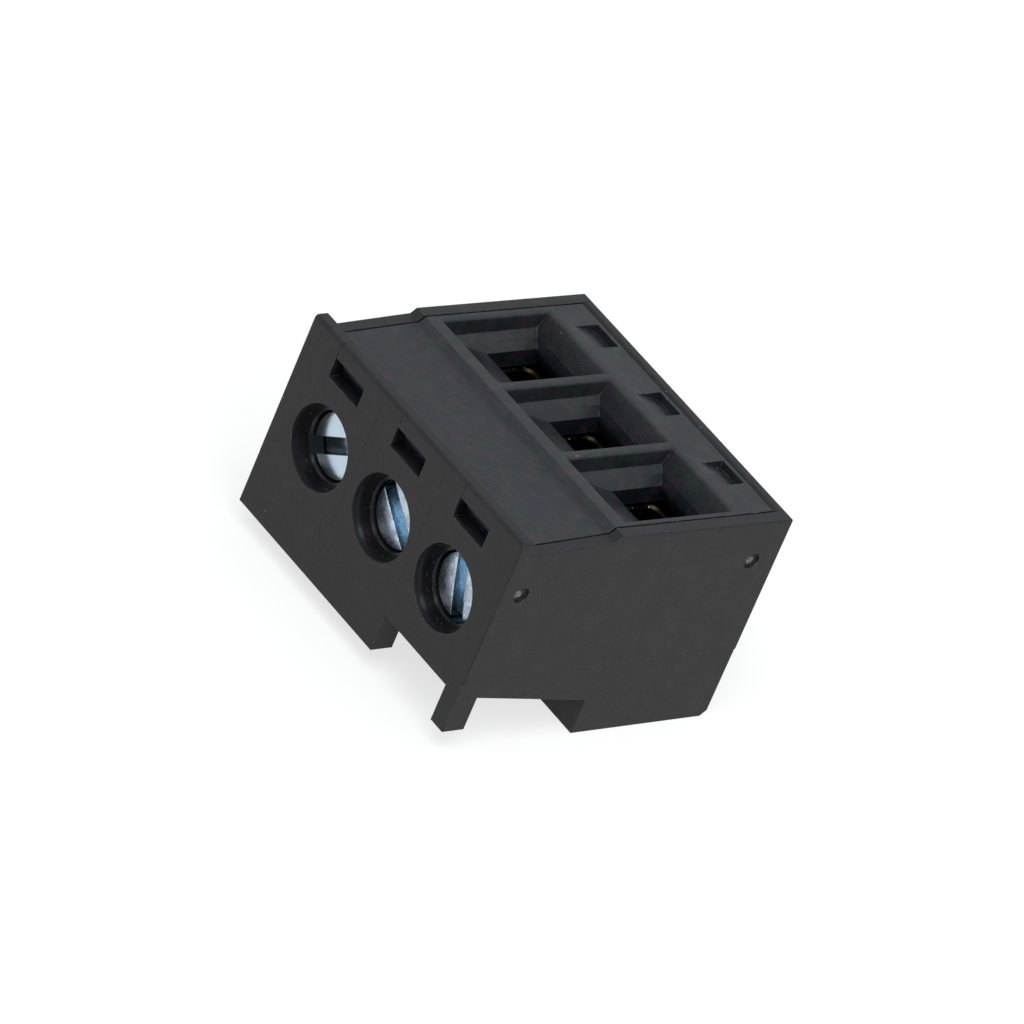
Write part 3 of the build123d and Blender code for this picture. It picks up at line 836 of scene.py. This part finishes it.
def head_profile(head_radius, length_all):
    """Half section of a screw, from the middle of its face to the middle of its point."""
    screw = settings().screw
    points = [(0.0, 0.0)]
    rim = head_radius - screw.head_edge
    for i in range(1, DOME_STEPS + 1):
        part = i / DOME_STEPS
        points.append((rim * part, screw.head_dome * part ** 2))
    for i in range(1, RIM_STEPS + 1):
        turn = math.radians(90 * i / RIM_STEPS)
        points.append((rim + screw.head_edge * math.sin(turn),
                       screw.head_dome + screw.head_edge * (1 - math.cos(turn))))
    core = screw.thread_radius - thread_depth()
    tip_start = length_all - screw.tip_length
    points += [(head_radius, screw.head_height), (core, screw.head_height)]
    points += [(core, tip_start - (core - screw.tip_radius)), (screw.tip_radius, tip_start)]
    points += [(screw.tip_radius, length_all), (0.0, length_all)]
    return points


def thread_depth():
    """Depth of the screw thread's flanks."""
    return FLANK_SHARE * settings().screw.thread_pitch


def store_screw_place(mesh, number):
    """Keep each point's place in the screw's own frame, and how thick its film is."""
    mesh.attributes.new("screw_place", "FLOAT_VECTOR", "POINT")
    mesh.attributes.new("screw_film", "FLOAT", "POINT")
    for vertex, entry in zip(mesh.vertices, mesh.attributes["screw_place"].data):
        entry.vector = vertex.co
    for entry in mesh.attributes["screw_film"].data:
        entry.value = settings().screw.films[number - 1]


def build_screw(number):
    """One turned screw with its slot, in place."""
    screw = settings().screw
    low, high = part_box(f"clamp_screw_{number}")
    head_radius = (high.x - low.x) / 2
    profile = head_profile(head_radius, high.y - low.y)
    name = f"screw_{number}"
    made = new_object(name, mesh_from(lathe(profile, LATHE_STEPS), name))
    reach = head_radius + CUT_MARGIN
    half = screw.slot_width / 2
    cut(made, [((-reach, -CUT_MARGIN, -half), (reach, screw.slot_depth, half))])
    soften = made.modifiers.new("broken edges", "BEVEL")
    soften.width = screw.slot_edge
    soften.segments = SLOT_EDGE_STEPS
    soften.limit_method = "ANGLE"
    soften.angle_limit = SLOT_CORNER
    soften.use_clamp_overlap = True
    baked(made)
    store_screw_place(made.data, number)
    place = SCREW_PLACES[number - 1]
    turn = Matrix.Rotation(-screw.slot_angles[number - 1], 4, "Y")
    made.data.transform(Matrix.Translation((place.x, low.y, place.z)) @ turn)
    return shade(made, 30)


def thread_tree():
    """A ridge swept along a helix around the Y axis, as a geometry tree."""
    inputs = {"Inner Radius": 1.0 * MM, "Outer Radius": 1.25 * MM, "Inner Width": 0.3 * MM,
              "Outer Width": 0.1 * MM, "Pitch": 0.45 * MM, "Turns": 10.0,
              "Start": (0.0, 0.0, 0.0)}
    tree, given, result = new_group("thread", "GeometryNodeTree", inputs,
                                    {"Geometry": "NodeSocketGeometry"})
    finish = tree.interface.new_socket(name="Finish", in_out="INPUT",
                                       socket_type="NodeSocketMaterial")
    middle = times(tree, maths(tree, "ADD", given["Inner Radius"], given["Outer Radius"]), 0.5)
    height = maths(tree, "SUBTRACT", given["Outer Radius"], given["Inner Radius"])
    rise = times(tree, given["Pitch"], given["Turns"])
    helix = add(tree, "GeometryNodeCurveSpiral", {
        "Resolution": HELIX_STEPS, "Rotations": given["Turns"], "Start Radius": middle,
        "End Radius": middle, "Height": rise})
    upright = add(tree, "GeometryNodeSetCurveNormal", {"Curve": helix.outputs[0]}, mode="Z_UP")
    ridge = add(tree, "GeometryNodeCurvePrimitiveQuadrilateral",
                {"Bottom Width": given["Inner Width"], "Top Width": given["Outer Width"],
                 "Height": height, "Offset": 0.0}, mode="TRAPEZOID")
    turned = add(tree, "GeometryNodeTransform", {"Geometry": ridge.outputs[0],
                                                 "Rotation": (0.0, 0.0, math.radians(90))})
    swept = add(tree, "GeometryNodeCurveToMesh", {"Curve": upright.outputs[0],
                                                  "Profile Curve": turned.outputs[0],
                                                  "Fill Caps": True})
    laid = add(tree, "GeometryNodeTransform", {"Geometry": swept.outputs[0],
                                               "Translation": given["Start"],
                                               "Rotation": (math.radians(-90), 0.0, 0.0)})
    real = add(tree, "GeometryNodeRealizeInstances", {"Geometry": laid.outputs[0]})
    coated = add(tree, "GeometryNodeSetMaterial", {"Geometry": real.outputs[0],
                                                   "Material": given[finish.name]})
    tree.links.new(coated.outputs[0], result.inputs["Geometry"])
    return tree


def build_thread(name, radii, widths, turns, start, finish):
    """A thread's ridge between two radii, from its starting point on, as a plain mesh."""
    values = {
        "Inner Radius": radii[0], "Outer Radius": radii[1],
        "Inner Width": widths[0], "Outer Width": widths[1],
        "Pitch": settings().screw.thread_pitch, "Turns": turns, "Start": start,
        "Finish": material(finish),
    }
    tree = bpy.data.node_groups.get("thread") or thread_tree()
    made = new_object(name, bpy.data.meshes.new(name))
    grow = made.modifiers.new("thread", "NODES")
    grow.node_group = tree
    for socket in tree.interface.items_tree:
        if socket.in_out == "INPUT":
            grow[socket.identifier] = values[socket.name]
    return baked(made)


class BLOCK_OT_screws(bpy.types.Operator):
    """Make the slotted clamp screws with their threads"""

    bl_idname = "terminal_block.screws"
    bl_label = "Clamp screws"

    def execute(self, context):
        screw = settings().screw
        finish, pitch = "zinc_plated_steel", screw.thread_pitch
        for number, place in zip(POLES, SCREW_PLACES):
            body, node = f"screw_{number}", f"clamp_screw_{number}"
            finish_piece(build_screw(number), finish, body, node)
            low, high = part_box(node)
            radii = (screw.thread_radius - thread_depth() - SCREW_OVERLAP, screw.thread_radius)
            widths = (pitch * (1 - ROOT_SHARE), pitch * CREST_SHARE)
            start = low.y + screw.head_height + pitch
            turns = (high.y - screw.tip_length - start) / pitch - PLAIN_TURNS
            thread = build_thread(f"screw_thread_{number}", radii, widths, turns,
                                  (place.x, start, place.z), finish)
            store_screw_place(thread.data, number)
            finish_piece(thread, finish, body, node)
        return {"FINISHED"}


# Inner pieces

class BLOCK_OT_cages(bpy.types.Operator):
    """Dress the brass clamp cages and add their nut threads"""

    bl_idname = "terminal_block.cages"
    bl_label = "Clamp cages"

    def execute(self, context):
        screw, cage = settings().screw, settings().cage
        finish, pitch = "cage_brass", screw.thread_pitch
        slope = pitch * (1 - ROOT_SHARE - CREST_SHARE) / thread_depth()
        radii = (screw.thread_radius - thread_depth() + NUT_CREST_GAP,
                 cage.nut_bore + NUT_OVERLAP)
        widths = (pitch * ROOT_SHARE + NUT_CREST_GAP * slope - 2 * cage.thread_gap,
                  pitch * (1 - CREST_SHARE) + (radii[1] - screw.thread_radius) * slope
                  - 2 * cage.thread_gap)
        for number, place in zip(POLES, SCREW_PLACES):
            dress_node(f"clamp_cage_{number}", finish)
            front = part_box(f"clamp_cage_{number}")[0].y
            screw_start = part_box(f"clamp_screw_{number}")[0].y + screw.head_height + pitch
            steps = math.ceil((front + pitch / 2 - screw_start) / pitch)
            start = screw_start + (steps + 0.5) * pitch
            turns = (front + cage.nut_wall - start) / pitch - 0.5
            thread = build_thread(f"nut_thread_{number}", radii, widths, turns,
                                  (place.x, start, place.z), finish)
            finish_piece(thread, finish, f"cage_{number}")
        return {"FINISHED"}


class BLOCK_OT_contacts(bpy.types.Operator):
    """Dress the tinned contact strips and the bronze pin springs"""

    bl_idname = "terminal_block.contacts"
    bl_label = "Contacts and springs"

    def execute(self, context):
        for number in POLES:
            dress_node(f"current_bar_{number}", "tinned_copper")
            dress_node(f"pin_spring_{number}", "spring_bronze")
        return {"FINISHED"}


# Studio

FLOOR_GREY, FLOOR_ROUGHNESS = (0.80, 0.80, 0.80, 1.0), 0.9
WHITE = (1.0, 1.0, 1.0, 1.0)


def seen_directly(tree):
    """1 on rays that go straight to the camera or come off gloss or glass, otherwise 0."""
    rays = add(tree, "ShaderNodeLightPath")
    seen = maths(tree, "ADD", rays.outputs["Is Camera Ray"], rays.outputs["Is Glossy Ray"])
    return maths(tree, "ADD", seen, rays.outputs["Is Transmission Ray"], clamp=True)


def floor_material():
    """Pale floor that looks white but keeps a soft shadow."""
    made, tree, shader = new_material("floor_white")
    fill(tree, shader, {"Base Color": FLOOR_GREY, "Roughness": FLOOR_ROUGHNESS})
    glow = add(tree, "ShaderNodeEmission", {"Color": WHITE, "Strength": 1.0})
    amount = times(tree, seen_directly(tree), settings().studio.floor_white)
    both = add(tree, "ShaderNodeMixShader", {0: amount, 1: shader.outputs[0],
                                             2: glow.outputs[0]})
    tree.links.new(both.outputs[0], tree.nodes["Material Output"].inputs["Surface"])
    return made


def build_floor():
    """A wide plain floor at the height of the block's foot."""
    shape = bmesh.new()
    bmesh.ops.create_grid(shape, x_segments=1, y_segments=1,
                          size=settings().studio.floor_size / 2)
    floor = new_object("floor", mesh_from(shape, "floor"))
    floor.data.transform(Matrix.Translation((0, 0, HOUSING_LOW.z)))
    floor.data.materials.append(floor_material())


def build_world():
    """Even light from all sides; gloss shows it darker overhead, and the camera plain white."""
    studio = settings().studio
    world = bpy.data.worlds.new("studio")
    world.use_nodes = True
    tree = world.node_tree
    towards = add(tree, "ShaderNodeTexCoord").outputs["Generated"]
    height = add(tree, "ShaderNodeSeparateXYZ", {"Vector": towards}).outputs["Z"]
    overhead = ramp(tree, height, math.sin(studio.zenith_start), 1.0, 1.0, studio.zenith)
    direct = add(tree, "ShaderNodeLightPath").outputs["Is Camera Ray"]
    seen = ramp(tree, seen_directly(tree), 0.0, 1.0, studio.ambient, overhead)
    strength = ramp(tree, direct, 0.0, 1.0, seen, 1.0)
    shown = blend(tree, direct, rgba(studio.sky), WHITE)
    fill(tree, tree.nodes["Background"], {"Strength": strength, "Color": shown})
    bpy.context.scene.world = world


LAMPS = (
    # name, azimuth and elevation in degrees, distance and size in metres, power in watts
    ("softbox_key", 35.0, 60.0, 0.60, 0.40, 3.2),
    ("softbox_fill", 80.0, 30.0, 0.70, 0.45, 1.4),
    ("softbox_top", 160.0, 70.0, 0.60, 0.35, 0.6),
)


def direction(azimuth, elevation):
    """From the block towards a place; azimuth turns from the screw face towards +X."""
    flat = math.cos(elevation)
    return Vector((flat * math.sin(azimuth), -flat * math.cos(azimuth), math.sin(elevation)))


def build_lamps():
    """Large square softboxes, aimed at the block."""
    aim = Vector(settings().studio.aim)
    for name, azimuth, elevation, distance, size, power in LAMPS:
        light = bpy.data.lights.new(name, "AREA")
        light.size = size
        light.energy = power
        lamp = bpy.data.objects.new(name, light)
        towards = direction(math.radians(azimuth), math.radians(elevation))
        lamp.location = aim + towards * distance
        lamp.rotation_euler = towards.to_track_quat("Z", "Y").to_euler()
        bpy.context.scene.collection.objects.link(lamp)


def build_camera():
    """Camera at the photograph's angle, with its roll."""
    studio = settings().studio
    towards = direction(studio.azimuth, studio.elevation)
    turn = towards.to_track_quat("Z", "Y").to_matrix().to_4x4()
    turn = turn @ Matrix.Rotation(studio.roll, 4, "Z")
    lens = bpy.data.cameras.new("camera")
    lens.sensor_width = 36.0
    lens.lens = studio.lens
    lens.clip_start = 0.01
    lens.clip_end = 10.0
    camera = bpy.data.objects.new("camera", lens)
    place = Vector(studio.aim) + towards * studio.distance
    camera.matrix_world = Matrix.Translation(place) @ turn
    bpy.context.scene.collection.objects.link(camera)
    bpy.context.scene.camera = camera


class BLOCK_OT_studio(bpy.types.Operator):
    """Make the floor, the light and the camera"""

    bl_idname = "terminal_block.studio"
    bl_label = "Studio"

    def execute(self, context):
        context.scene.view_settings.view_transform = "Standard"
        build_world()
        build_floor()
        build_lamps()
        build_camera()
        return {"FINISHED"}


OPERATORS = (BLOCK_OT_studio, BLOCK_OT_housing, BLOCK_OT_cover, BLOCK_OT_screws,
             BLOCK_OT_cages, BLOCK_OT_contacts)


class BLOCK_PT_panel(bpy.types.Panel):
    """Lists the steps that dress the block, and its settings"""

    bl_label = "Terminal Block"
    bl_idname = "BLOCK_PT_panel"
    bl_space_type = "VIEW_3D"
    bl_region_type = "UI"
    bl_category = "Terminal Block"

    def draw(self, context):
        layout = self.layout
        for operator in OPERATORS:
            layout.operator(operator.bl_idname)
        for name, kind in SETTINGS.items():
            box = layout.box()
            box.label(text=kind.__doc__)
            group = getattr(context.scene.terminal_block, name)
            for setting in kind.__annotations__:
                box.prop(group, setting)


CLASSES = (*SETTINGS.values(), BlockSettings, *OPERATORS, BLOCK_PT_panel)


def register():
    """Register the classes and attach the settings to the scene."""
    for kind in CLASSES:
        bpy.utils.register_class(kind)
    bpy.types.Scene.terminal_block = PointerProperty(type=BlockSettings)


def unregister():
    """Take the settings and the classes away again."""
    del bpy.types.Scene.terminal_block
    for kind in reversed(CLASSES):
        bpy.utils.unregister_class(kind)


def main():
    """Dress the whole block."""
    register()
    for operator in OPERATORS:
        step = operator.bl_idname.split(".")[1]
        getattr(bpy.ops.terminal_block, step)()


if __name__ == "__main__":
    main()
